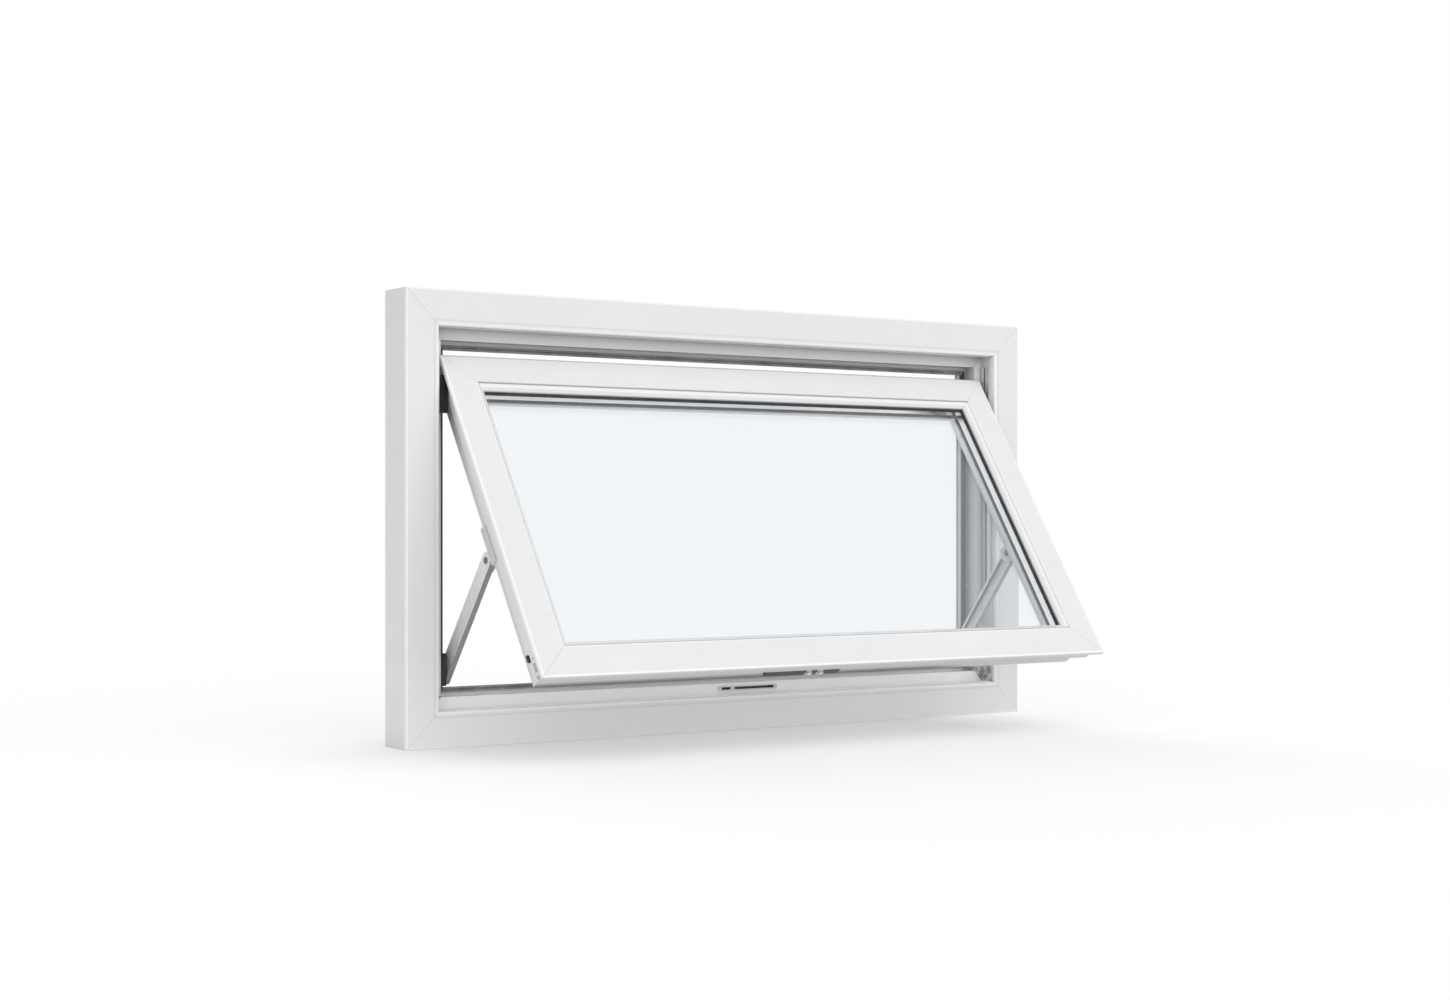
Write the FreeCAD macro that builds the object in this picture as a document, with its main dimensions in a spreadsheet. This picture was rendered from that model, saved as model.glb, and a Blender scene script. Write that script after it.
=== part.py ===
import FreeCAD, Part
import Sketcher
import math
import os

V = FreeCAD.Vector
doc = FreeCAD.newDocument("awning_window")
sheet = doc.addObject("Spreadsheet::Sheet", "sizes")

# Sizes in millimetres, tilt in degrees
SIZES = [
    ("frame_width", 1067.0),
    ("frame_height", 610.0),
    ("frame_depth", 66.0),
    ("frame_face", 48.5),
    ("mitre_past", 5.0),
    ("frame_outer_round", 2.0),
    ("frame_lip_round", 4.0),
    ("frame_lip_depth", 8.0),
    ("track_seat_rise", 1.5),
    ("track_seat_depth", 22.0),
    ("inner_seat_rise", 15.2),
    ("stop_rise", 10.8),
    ("stop_depth", 14.0),
    ("stop_round", 1.5),
    ("frame_wall", 2.8),
    ("frame_web", 2.4),
    ("front_chamber", 11.2),
    ("main_chamber", 19.0),
    ("nose_groove_width", 4.0),
    ("nose_groove_depth", 2.0),
    ("nose_groove_back", 3.0),
    ("gasket_groove_inset", 1.2),
    ("gasket_groove_width", 3.0),
    ("gasket_groove_depth", 2.5),
    ("gasket_play", 0.3),
    ("gasket_overhang", 1.2),
    ("gasket_width", 7.0),
    ("gasket_height", 5.0),
    ("gasket_rib", 2.9),
    ("gasket_valley", 3.0),
    ("gasket_outer_round", 1.4),
    ("gasket_inner_round", 1.0),
    ("sash_side_gap", 12.0),
    ("sash_end_gap", 5.25),
    ("sash_depth", 60.0),
    ("sash_tilt", 34.0),
    ("sash_top_back", 23.9),
    ("sash_top_drop", 84.8),
    ("sash_face", 44.2),
    ("sash_lip", 6.0),
    ("sash_lip_round", 2.5),
    ("sash_mid_inset", 9.0),
    ("sash_mid_depth", 30.0),
    ("sash_rear_inset", 20.0),
    ("sash_rear_round", 1.5),
    ("sash_wall", 2.5),
    ("face_groove_width", 1.8),
    ("face_groove_depth", 2.5),
    ("bevel_start", 0.6),
    ("bevel_width", 7.2),
    ("bevel_depth", 7.0),
    ("flange_depth", 11.7),
    ("rebate_inset", 40.5),
    ("glass_inset", 43.5),
    ("pane_thickness", 4.0),
    ("pane_gap", 12.0),
    ("glazing_gasket", 2.3),
    ("glazing_gasket_width", 7.4),
    ("outer_gasket_cover", 2.8),
    ("outer_gasket_roll", 1.6),
    ("outer_gasket_rise", 2.0),
    ("inner_gasket_cover", 0.9),
    ("spacer_height", 7.0),
    ("spacer_cover", 1.3),
    ("bead_cover", 1.4),
    ("bead_back_gap", 1.0),
    ("bead_nose", 3.2),
    ("bead_slope", 12.5),
    ("bead_foot_back", 9.0),
    ("bead_foot_width", 3.0),
    ("bead_foot_depth", 3.0),
    ("bead_foot_play", 0.25),
    ("track_width", 18.0),
    ("track_height", 3.0),
    ("track_wall", 0.9),
    ("track_slot", 5.0),
    ("track_front_gap", 2.0),
    ("track_bottom", 188.0),
    ("track_top_gap", 66.0),
    ("track_screw_hole", 4.0),
    ("shoe_width", 13.0),
    ("shoe_length", 51.0),
    ("shoe_top", 9.0),
    ("shoe_clear", 0.5),
    ("shoe_stand", 1.5),
    ("shoe_round", 3.0),
    ("shoe_tongue", 4.2),
    ("shoe_tongue_depth", 1.9),
    ("shoe_tongue_root", 1.0),
    ("shoe_tongue_end", 2.0),
    ("shoe_pivot_down", 32.5),
    ("shoe_pivot_back", 18.0),
    ("shoe_pin", 7.0),
    ("shoe_pin_root", 1.0),
    ("arm_width", 23.0),
    ("arm_thickness", 8.0),
    ("arm_wall", 2.0),
    ("arm_channel", 15.0),
    ("arm_channel_end", 4.0),
    ("arm_channel_round", 3.0),
    ("arm_end_flat", 0.02),
    ("arm_side_gap", 3.5),
    ("arm_hole", 5.6),
    ("arm_pivot_up", 221.0),
    ("arm_clear", 0.5),
    ("arm_foot_inset", 11.5),
    ("arm_foot_rise", 92.0),
    ("rivet_stem", 5.0),
    ("rivet_head", 9.0),
    ("rivet_head_height", 1.2),
    ("bracket_plate", 2.5),
    ("bracket_length", 56.0),
    ("bracket_inset", 0.6),
    ("bracket_lug", 3.0),
    ("bracket_lug_length", 24.0),
    ("bracket_lug_low", 4.0),
    ("bracket_flange_depth", 10.0),
    ("bracket_edge_round", 3.0),
    ("jamb_plate", 2.5),
    ("jamb_plate_front", 2.0),
    ("jamb_plate_back", 9.0),
    ("jamb_plate_up", 40.0),
    ("jamb_plate_down", 8.0),
    ("foot_block", 8.5),
    ("foot_block_low", 80.0),
    ("foot_block_length", 44.0),
    ("foot_block_gap", 0.5),
    ("foot_block_round", 3.0),
    ("stile_plate_up", 10.5),
    ("stile_plate_back", 13.0),
    ("stile_plate_length", 30.0),
    ("stile_plate_width", 12.0),
    ("stile_plate", 1.6),
    ("stile_screw", 6.0),
    ("stile_screw_height", 1.4),
    ("stile_screw_spacing", 18.5),
    ("stile_bolt_up", 50.0),
    ("stile_bolt_back", 46.0),
    ("stile_bolt_length", 10.0),
    ("stile_bolt_width", 4.5),
    ("stile_bolt_height", 3.0),
    ("stile_bolt_round", 1.6),
    ("keeper_offset", 32.0),
    ("keeper_length", 104.0),
    ("keeper_height", 6.8),
    ("keeper_thickness", 1.6),
    ("keeper_round", 2.0),
    ("keeper_slot_end", 5.5),
    ("keeper_slot_length", 70.0),
    ("keeper_slot_gap", 7.1),
    ("keeper_hole_length", 15.8),
    ("keeper_slot_height", 3.6),
    ("keeper_recess", 6.0),
    ("lock_offset", -44.0),
    ("lock_length", 124.0),
    ("lock_height", 5.0),
    ("lock_depth", 14.0),
    ("lock_back", 37.0),
    ("lock_round", 3.0),
    ("lock_stud_offset", -25.0),
    ("lock_stud", 8.0),
    ("lock_stud_height", 3.5),
    ("lock_stud_spacing", 19.5),
]

VALUES = {}
for row, (name, number) in enumerate(SIZES, 1):
    sheet.set("A%d" % row, name)
    sheet.set("B%d" % row, str(number))
    sheet.setAlias("B%d" % row, name)
    VALUES[name] = number
doc.recompute()


# A size keeps its sheet formula beside its number
class Size:
    def __init__(self, text, number):
        self.text = text
        self.number = float(number)

    def __add__(self, other):
        other = size(other)
        return Size("(%s + %s)" % (self.text, other.text), self.number + other.number)

    def __radd__(self, other):
        return size(other) + self

    def __sub__(self, other):
        other = size(other)
        return Size("(%s - %s)" % (self.text, other.text), self.number - other.number)

    def __rsub__(self, other):
        return size(other) - self

    def __mul__(self, other):
        other = size(other)
        return Size("(%s * %s)" % (self.text, other.text), self.number * other.number)

    def __rmul__(self, other):
        return size(other) * self

    def __truediv__(self, other):
        other = size(other)
        return Size("(%s / %s)" % (self.text, other.text), self.number / other.number)

    def __neg__(self):
        return Size("(0 - %s)" % self.text, -self.number)


def size(value):
    if isinstance(value, Size):
        return value
    if isinstance(value, str):
        return Size("<<sizes>>." + value, VALUES[value])
    return Size("%.6f" % value, value)


def sine(angle):
    return Size("sin(%s * 1 deg)" % angle.text, math.sin(math.radians(angle.number)))


def cosine(angle):
    return Size("cos(%s * 1 deg)" % angle.text, math.cos(math.radians(angle.number)))


def hypotenuse(a, b):
    return Size("sqrt(%s ^ 2 + %s ^ 2)" % (a.text, b.text), math.hypot(a.number, b.number))


S = size
zero = S(0.0)
fw = S("frame_width")
fh = S("frame_height")
half_w = fw / 2
half_d = S("frame_depth") / 2
tilt = S("sash_tilt")

# The sash fills the frame's face opening less a gap all round, and hangs from its top edge
sw = fw - 2 * (S("frame_face") + "sash_side_gap")
sh = fh - 2 * (S("frame_face") + "sash_end_gap")
toe_y = S("sash_top_back") - half_d - sh * sine(tilt)
toe_z = fh - "sash_top_drop" - sh * cosine(tilt)

NODES = []


def new_body(label):
    body = doc.addObject("PartDesign::Body", label)
    body.Label = label
    NODES.append(body)
    return body


def place(body, x, y, z):
    for axis, value in zip("xyz", (x, y, z)):
        body.setExpression("Placement.Base." + axis, value.text)


def on_sash(body):
    body.Placement = FreeCAD.Placement(V(0, 0, 0), FreeCAD.Rotation(V(1, 0, 0), -tilt.number))
    body.setExpression("Placement.Rotation.Angle", "-1 * <<sizes>>.sash_tilt")
    body.setExpression("Placement.Rotation.Axis.x", "1")
    place(body, zero, toe_y, toe_z)


def plane_of(body, role):
    for feature in body.Origin.OriginFeatures:
        if feature.Role == role:
            return feature
    return None


def new_sketch(body, role, offset=None):
    sketch = body.newObject("Sketcher::SketchObject", body.Label + "_sketch")
    sketch.AttachmentSupport = [(plane_of(body, role), "")]
    sketch.MapMode = "FlatFace"
    if offset is not None:
        sketch.AttachmentOffset = FreeCAD.Placement(V(0, 0, offset.number), FreeCAD.Rotation())
        sketch.setExpression("AttachmentOffset.Base.z", offset.text)
    return sketch


def pin_point(sketch, geo, pos, point):
    for kind, value in (("DistanceX", point[0]), ("DistanceY", point[1])):
        index = sketch.addConstraint(Sketcher.Constraint(kind, -1, 1, geo, pos, value.number))
        sketch.setExpression("Constraints[%d]" % index, value.text)


# A closed loop of straight sides, with a radius at square corners where one is given
def loop(sketch, corners):
    corners = [tuple(S(v) for v in c) for c in corners]
    count = len(corners)
    ends = []
    for i, corner in enumerate(corners):
        x, y = corner[0], corner[1]
        if len(corner) < 3:
            ends.append(((x, y), (x, y), None, 0))
            continue
        r = corner[2]
        before = corners[i - 1]
        after = corners[(i + 1) % count]
        in_dir = step(before, corner)
        out_dir = step(corner, after)
        start = (x - r * in_dir[0], y - r * in_dir[1])
        finish = (x + r * out_dir[0], y + r * out_dir[1])
        turn = in_dir[0] * out_dir[1] - in_dir[1] * out_dir[0]
        ends.append((start, finish, r, turn))
    lines = []
    for i in range(count):
        a = ends[i][1]
        b = ends[(i + 1) % count][0]
        line = Part.LineSegment(V(a[0].number, a[1].number, 0), V(b[0].number, b[1].number, 0))
        lines.append(sketch.addGeometry(line, False))
    for i in range(count):
        before = lines[i - 1]
        pin_point(sketch, lines[i], 1, ends[i][1])
        if ends[i][2] is None:
            sketch.addConstraint(Sketcher.Constraint("Coincident", before, 2, lines[i], 1))
            continue
        start, finish, r, turn = ends[i]
        pin_point(sketch, before, 2, start)
        add_arc(sketch, before, lines[i], corners[i], start, finish, r, turn)


def add_arc(sketch, before, after, corner, start, finish, r, turn):
    cx = start[0].number + finish[0].number - corner[0].number
    cy = start[1].number + finish[1].number - corner[1].number
    first, last = (start, finish) if turn > 0 else (finish, start)
    a0 = math.atan2(first[1].number - cy, first[0].number - cx)
    a1 = math.atan2(last[1].number - cy, last[0].number - cx)
    circle = Part.Circle(V(cx, cy, 0), V(0, 0, 1), r.number)
    arc = sketch.addGeometry(Part.ArcOfCircle(circle, a0, a1), False)
    begin, end = (1, 2) if turn > 0 else (2, 1)
    sketch.addConstraint(Sketcher.Constraint("Coincident", before, 2, arc, begin))
    sketch.addConstraint(Sketcher.Constraint("Coincident", after, 1, arc, end))
    index = sketch.addConstraint(Sketcher.Constraint("Radius", arc, r.number))
    sketch.setExpression("Constraints[%d]" % index, r.text)


def step(a, b):
    dx = b[0].number - a[0].number
    dy = b[1].number - a[1].number
    if abs(dx) > abs(dy):
        return (1 if dx > 0 else -1, 0)
    return (0, 1 if dy > 0 else -1)


def box_loop(sketch, x0, x1, y0, y1):
    loop(sketch, [(x0, y0), (x1, y0), (x1, y1), (x0, y1)])


def circle(sketch, x, y, diameter):
    x, y, diameter = S(x), S(y), S(diameter)
    shape = Part.Circle(V(x.number, y.number, 0), V(0, 0, 1), diameter.number / 2)
    geo = sketch.addGeometry(shape, False)
    pin_point(sketch, geo, 3, (x, y))
    index = sketch.addConstraint(Sketcher.Constraint("Diameter", geo, diameter.number))
    sketch.setExpression("Constraints[%d]" % index, diameter.text)


def pad(body, sketch, length, both=False, back=False):
    feature = body.newObject("PartDesign::Pad", body.Label + "_pad")
    feature.Profile = sketch
    feature.SideType = "Symmetric" if both else "One side"
    feature.Reversed = back
    feature.Length = S(length).number
    feature.setExpression("Length", S(length).text)
    sketch.Visibility = False
    return feature


def pocket(body, sketch, length=None, back=False):
    feature = body.newObject("PartDesign::Pocket", body.Label + "_pocket")
    feature.Profile = sketch
    sketch.Visibility = False
    if length is None:
        feature.SideType = "Symmetric"
        feature.Type = "ThroughAll"
        return feature
    feature.SideType = "One side"
    feature.Type = "Length"
    feature.Reversed = back
    feature.Length = S(length).number
    feature.setExpression("Length", S(length).text)
    return feature


# Section of the outer frame, u inward from the outer side and v back from the front face
lip_u = S("frame_face")
seat_u = lip_u + "track_seat_rise"
inner_u = seat_u + "inner_seat_rise"
stop_u = inner_u + "stop_rise"
lip_v = S("frame_lip_depth")
seat_v = lip_v + "track_seat_depth"
back_v = S("frame_depth")
stop_v = back_v - "stop_depth"
gasket_end_u = stop_u + "gasket_overhang"
gasket_u = gasket_end_u - "gasket_width"
groove_u = gasket_u + "gasket_groove_inset"
groove_end_u = groove_u + "gasket_groove_width"
groove_v = stop_v + "gasket_groove_depth"
nose_u = stop_u - "nose_groove_depth"
nose_end_v = back_v - "nose_groove_back"
nose_v = nose_end_v - "nose_groove_width"
wall = S("frame_wall")
web = S("frame_web")
web1_v = wall + "front_chamber"
web2_v = web1_v + web + "main_chamber"

FRAME_OUTLINE = [
    (zero, zero, S("frame_outer_round")),
    (lip_u, zero, S("frame_lip_round")),
    (lip_u, lip_v),
    (seat_u, lip_v),
    (seat_u, seat_v),
    (inner_u, seat_v),
    (inner_u, stop_v),
    (groove_u, stop_v),
    (groove_u, groove_v),
    (groove_end_u, groove_v),
    (groove_end_u, stop_v),
    (stop_u, stop_v, S("stop_round")),
    (stop_u, nose_v),
    (nose_u, nose_v),
    (nose_u, nose_end_v),
    (stop_u, nose_end_v),
    (stop_u, back_v, S("stop_round")),
    (zero, back_v, S("frame_outer_round")),
]
FRAME_CHAMBERS = [
    (wall, lip_u - wall, wall, web1_v),
    (wall, seat_u - wall, web1_v + web, web2_v),
    (wall, inner_u - wall, web2_v + web, back_v - wall),
    (inner_u - wall + web, nose_u - wall, groove_v + web, back_v - wall),
]

gasket_v = stop_v - "gasket_height"
play = S("gasket_play")
rib = S("gasket_rib")
valley_v = gasket_v + "gasket_valley"
outer_r = S("gasket_outer_round")
inner_r = S("gasket_inner_round")
FRAME_GASKET = [
    (gasket_u, stop_v),
    (gasket_u, gasket_v, outer_r),
    (gasket_u + rib, gasket_v, inner_r),
    (gasket_u + rib, valley_v),
    (gasket_end_u - rib, valley_v),
    (gasket_end_u - rib, gasket_v, inner_r),
    (gasket_end_u, gasket_v, outer_r),
    (gasket_end_u, stop_v),
    (groove_end_u - play, stop_v),
    (groove_end_u - play, groove_v - play),
    (groove_u + play, groove_v - play),
    (groove_u + play, stop_v),
]

# Section of the sash, p inward from its lip edge and d back from its front face
mid_p = S("sash_mid_inset")
rear_p = S("sash_rear_inset")
face_p = S("sash_face")
groove_p = face_p + "face_groove_width"
edge_p = groove_p + "bevel_width"
rebate_p = S("rebate_inset")
rear_d = S("sash_depth")
mid_d = S("sash_mid_depth")
flange_d = S("flange_depth")
foot_d = rear_d - "bead_foot_back" - "bead_foot_width"
foot_end_d = rear_d - "bead_foot_back"
foot_p = rebate_p - "bead_foot_depth"
swall = S("sash_wall")

SASH_OUTLINE = [
    (zero, zero, S("sash_lip_round")),
    (face_p, zero),
    (face_p, S("face_groove_depth")),
    (groove_p, S("face_groove_depth")),
    (groove_p, S("bevel_start")),
    (edge_p, S("bevel_depth")),
    (edge_p, flange_d),
    (rebate_p, flange_d),
    (rebate_p, foot_d),
    (foot_p, foot_d),
    (foot_p, foot_end_d),
    (rebate_p, foot_end_d),
    (rebate_p, rear_d),
    (rear_p, rear_d, S("sash_rear_round")),
    (rear_p, mid_d),
    (mid_p, mid_d, S("sash_rear_round")),
    (mid_p, S("sash_lip")),
    (zero, S("sash_lip")),
]
SASH_CHAMBERS = [
    (mid_p + swall, face_p - swall, swall, flange_d - swall),
    (mid_p + swall, rebate_p - swall, flange_d, mid_d - swall),
    (rear_p + swall, foot_p - swall, mid_d, rear_d - swall),
]

glass_d = flange_d + "glazing_gasket"
gap_d = glass_d + "pane_thickness"
inner_pane_d = gap_d + "pane_gap"
bead_gasket_d = inner_pane_d + "pane_thickness"
bead_d = bead_gasket_d + "glazing_gasket"
bead_back_d = rear_d - "bead_back_gap"
bead_p = edge_p + "bead_cover"
bplay = S("bead_foot_play")
BEAD_OUTLINE = [
    (rebate_p, bead_d),
    (bead_p, bead_d),
    (bead_p, bead_d + "bead_nose"),
    (bead_p - "bead_slope", bead_back_d),
    (rebate_p, bead_back_d),
    (rebate_p, foot_end_d - bplay),
    (foot_p + bplay, foot_end_d - bplay),
    (foot_p + bplay, foot_d + bplay),
    (rebate_p, foot_d + bplay),
]


# Mitred bars running along x, at the bottom or the top of a ring
def level_bar(label, width, height, top, outline, chambers, depth_shift):
    body = new_body(label)
    sketch = new_sketch(body, "YZ_Plane")

    def spot(u, v):
        return (v + depth_shift, (height - u) if top else u)

    loop(sketch, [spot(c[0], c[1]) + tuple(c[2:]) for c in outline])
    for u0, u1, v0, v1 in chambers:
        a = spot(u0, v0)
        b = spot(u1, v1)
        box_loop(sketch, a[0], b[0], a[1], b[1])
    pad(body, sketch, width, both=True)
    cut = new_sketch(body, "XZ_Plane")
    half = width / 2
    out = -S("mitre_past")
    deep = gasket_end_u + "mitre_past"
    for side in (-1, 1):
        near = (side * (half - out), (height - out) if top else out)
        far = (side * (half - deep), (height - deep) if top else deep)
        loop(cut, [near, far, (near[0], far[1])])
    pocket(body, cut)
    return body


# Mitred bars running along z, at the left or the right of a ring
def upright_bar(label, width, height, right, outline, chambers, depth_shift):
    body = new_body(label)
    sketch = new_sketch(body, "XY_Plane")
    half = width / 2

    def spot(u, v):
        return ((half - u) if right else (u - half), v + depth_shift)

    loop(sketch, [spot(c[0], c[1]) + tuple(c[2:]) for c in outline])
    for u0, u1, v0, v1 in chambers:
        a = spot(u0, v0)
        b = spot(u1, v1)
        box_loop(sketch, a[0], b[0], a[1], b[1])
    pad(body, sketch, height)
    cut = new_sketch(body, "XZ_Plane")
    out = -S("mitre_past")
    deep = gasket_end_u + "mitre_past"
    side = 1 if right else -1
    for upper in (False, True):
        near = (side * (half - out), (height - out) if upper else out)
        far = (side * (half - deep), (height - deep) if upper else deep)
        loop(cut, [near, far, (far[0], near[1])])
    pocket(body, cut)
    return body


level_bar("frame_head", fw, fh, True, FRAME_OUTLINE, FRAME_CHAMBERS, -half_d)
level_bar("frame_sill", fw, fh, False, FRAME_OUTLINE, FRAME_CHAMBERS, -half_d)
upright_bar("frame_left_jamb", fw, fh, False, FRAME_OUTLINE, FRAME_CHAMBERS, -half_d)
upright_bar("frame_right_jamb", fw, fh, True, FRAME_OUTLINE, FRAME_CHAMBERS, -half_d)

level_bar("frame_gasket_head", fw, fh, True, FRAME_GASKET, [], -half_d)
level_bar("frame_gasket_sill", fw, fh, False, FRAME_GASKET, [], -half_d)
upright_bar("frame_gasket_left", fw, fh, False, FRAME_GASKET, [], -half_d)
upright_bar("frame_gasket_right", fw, fh, True, FRAME_GASKET, [], -half_d)

sash = [
    level_bar("sash_top_rail", sw, sh, True, SASH_OUTLINE, SASH_CHAMBERS, zero),
    level_bar("sash_bottom_rail", sw, sh, False, SASH_OUTLINE, SASH_CHAMBERS, zero),
    upright_bar("sash_left_stile", sw, sh, False, SASH_OUTLINE, SASH_CHAMBERS, zero),
    upright_bar("sash_right_stile", sw, sh, True, SASH_OUTLINE, SASH_CHAMBERS, zero),
]
for body in sash:
    on_sash(body)

for body in (
    level_bar("glazing_bead_top", sw, sh, True, BEAD_OUTLINE, [], zero),
    level_bar("glazing_bead_bottom", sw, sh, False, BEAD_OUTLINE, [], zero),
    upright_bar("glazing_bead_left", sw, sh, False, BEAD_OUTLINE, [], zero),
    upright_bar("glazing_bead_right", sw, sh, True, BEAD_OUTLINE, [], zero),
):
    on_sash(body)


# Flat sheets and rings of the sealed glass unit, given by their inset and depth
def sheet_piece(label, inset, inner_inset, depth, thickness):
    body = new_body(label)
    sketch = new_sketch(body, "XZ_Plane", -depth)
    half = sw / 2
    box_loop(sketch, inset - half, half - inset, inset, sh - inset)
    if inner_inset is not None:
        box_loop(sketch, inner_inset - half, half - inner_inset, inner_inset, sh - inner_inset)
    pad(body, sketch, thickness, back=True)
    on_sash(body)
    return body


glass_p = S("glass_inset")
spacer_p = edge_p - "spacer_cover"
sheet_piece("glass_outer_pane", glass_p, None, glass_d, S("pane_thickness"))
sheet_piece("glass_inner_pane", glass_p, None, inner_pane_d, S("pane_thickness"))
sheet_piece("glass_spacer_bar", spacer_p - "spacer_height", spacer_p, gap_d, S("pane_gap"))
gasket_p = edge_p - "glazing_gasket_width"
ring = sheet_piece("glazing_gasket_outer", gasket_p, edge_p + "outer_gasket_cover", flange_d,
                   S("glazing_gasket"))
roll = new_sketch(ring, "XZ_Plane", S("outer_gasket_rise") - flange_d)
roll_p = edge_p + "outer_gasket_roll"
box_loop(roll, edge_p - sw / 2, sw / 2 - edge_p, edge_p, sh - edge_p)
box_loop(roll, roll_p - sw / 2, sw / 2 - roll_p, roll_p, sh - roll_p)
pad(ring, roll, S("outer_gasket_rise"), back=True)
sheet_piece("glazing_gasket_inner", gasket_p, edge_p + "inner_gasket_cover", bead_gasket_d,
            S("glazing_gasket"))

# Points the stay turns about, in the frame's own axes
def sash_point(up, back):
    y = toe_y + up * sine(tilt) + back * cosine(tilt)
    z = toe_z + up * cosine(tilt) - back * sine(tilt)
    return y, z


plate_d = rear_d + "bracket_plate"
pivot_d = plate_d + "arm_clear" + S("arm_width") / 2
pivot_y, pivot_z = sash_point(S("arm_pivot_up"), pivot_d)
foot_y = half_d - "arm_foot_inset"
foot_z = S("arm_foot_rise")
shoe_y, shoe_z = sash_point(sh - "shoe_pivot_down", S("shoe_pivot_back"))
run_y = foot_y - pivot_y
run_z = pivot_z - foot_z
arm_length = hypotenuse(run_y, run_z)
arm_angle = "atan2(%s; %s)" % (run_y.text, run_z.text)
arm_angle_number = math.degrees(math.atan2(run_y.number, run_z.number))
stop_x = half_w - stop_u
arm_x = stop_x - "arm_side_gap" - "arm_thickness"
seat_x = half_w - seat_u
sash_mid_x = sw / 2 - mid_p
sash_rear_x = sw / 2 - rear_p

for side, hand in ((-1, "left"), (1, "right")):
    # Channel track on the jamb, open towards the sash
    body = new_body(hand + "_hinge_track")
    sketch = new_sketch(body, "XY_Plane")
    front = lip_v - half_d + "track_front_gap"
    rear = front + "track_width"
    base = seat_x
    face = seat_x - "track_height"
    tw = S("track_wall")
    slot0 = (front + rear) / 2 - S("track_slot") / 2
    slot1 = (front + rear) / 2 + S("track_slot") / 2
    points = [(base, front), (base, rear), (face, rear), (face, slot1), (face + tw, slot1),
              (face + tw, rear - tw), (base - tw, rear - tw), (base - tw, front + tw),
              (face + tw, front + tw), (face + tw, slot0), (face, slot0), (face, front)]
    loop(sketch, [(side * x, y) for x, y in points])
    pad(body, sketch, fh - "track_top_gap" - "track_bottom")
    place(body, zero, zero, S("track_bottom"))

    # Sliding shoe with its pivot pin into the sash stile
    body = new_body(hand + "_slide_shoe")
    sketch = new_sketch(body, "YZ_Plane", side * (sash_mid_x + "shoe_stand"))
    w = S("shoe_width") / 2
    top = S("shoe_top")
    low = top - "shoe_length"
    sr = S("shoe_round")
    loop(sketch, [(-w, low, sr), (w, low, sr), (w, top, sr), (-w, top, sr)])
    pad(body, sketch, face - "shoe_clear" - sash_mid_x - "shoe_stand", back=side < 0)
    pin = new_sketch(body, "YZ_Plane", side * sash_mid_x)
    circle(pin, 0.0, 0.0, S("shoe_pin"))
    pad(body, pin, S("shoe_stand") + "shoe_pin_root", back=side < 0)
    tongue = new_sketch(body, "YZ_Plane", side * (face - "shoe_clear" - "shoe_tongue_root"))
    mid = (front + rear) / 2 - shoe_y
    t = S("shoe_tongue") / 2
    box_loop(tongue, mid - t, mid + t, low + "shoe_tongue_end", top - "shoe_tongue_end")
    pad(body, tongue, S("shoe_tongue_depth") + "shoe_tongue_root", back=side < 0)
    place(body, zero, shoe_y, shoe_z)

    # Stay arm, a bar with a channel along its inner side
    body = new_body(hand + "_stay_arm")
    sketch = new_sketch(body, "YZ_Plane", side * arm_x)
    r = S("arm_width") / 2
    end = r - "arm_end_flat"
    loop(sketch, [(-r, -r, end), (r, -r, end), (r, arm_length + r, end), (-r, arm_length + r, end)])
    circle(sketch, 0.0, 0.0, S("arm_hole"))
    circle(sketch, 0.0, arm_length, S("arm_hole"))
    pad(body, sketch, S("arm_thickness"), back=side < 0)
    channel = new_sketch(body, "YZ_Plane", side * arm_x)
    c = S("arm_channel") / 2
    c0 = r + "arm_channel_end"
    c1 = arm_length - c0
    cr = S("arm_channel_round")
    loop(channel, [(-c, c0, cr), (c, c0, cr), (c, c1, cr), (-c, c1, cr)])
    pocket(body, channel, S("arm_thickness") - "arm_wall", back=side > 0)
    body.Placement = FreeCAD.Placement(V(0, 0, 0), FreeCAD.Rotation(V(1, 0, 0), arm_angle_number))
    body.setExpression("Placement.Rotation.Angle", arm_angle)
    body.setExpression("Placement.Rotation.Axis.x", "1")
    place(body, zero, foot_y, foot_z)

    # Bracket on the back of the stile, its lug beside the arm and a flange round the stile's edge
    body = new_body(hand + "_sash_bracket")
    sketch = new_sketch(body, "XY_Plane", S("arm_pivot_up") - S("bracket_lug_length") / 2)
    lug_out = arm_x
    lug_in = arm_x - "bracket_lug"
    plate_in = sw / 2 - rebate_p + "bracket_inset"
    lug_d = pivot_d + S("arm_width") / 2
    box_loop(sketch, side * lug_in, side * lug_out, rear_d, lug_d)
    pad(body, sketch, S("bracket_lug_length"))
    plate = new_sketch(body, "XZ_Plane", -rear_d)
    low = S("arm_pivot_up") - S("bracket_lug_length") / 2 - "bracket_lug_low"
    high = low + "bracket_length"
    box_loop(plate, side * plate_in, side * lug_out, low, high)
    pad(body, plate, S("bracket_plate"), back=True)
    flange_x = sash_rear_x + "bracket_plate"
    flange_d0 = rear_d - "bracket_flange_depth"
    flange = new_sketch(body, "XY_Plane", low)
    points = [(lug_in, rear_d), (sash_rear_x, rear_d), (sash_rear_x, flange_d0),
              (flange_x, flange_d0), (flange_x, plate_d), (lug_in, plate_d)]
    loop(flange, [(side * x, d) for x, d in points])
    pad(body, flange, S("bracket_length"))
    hole = new_sketch(body, "YZ_Plane")
    circle(hole, pivot_d, S("arm_pivot_up"), S("arm_hole"))
    pocket(body, hole)
    on_sash(body)

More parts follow.
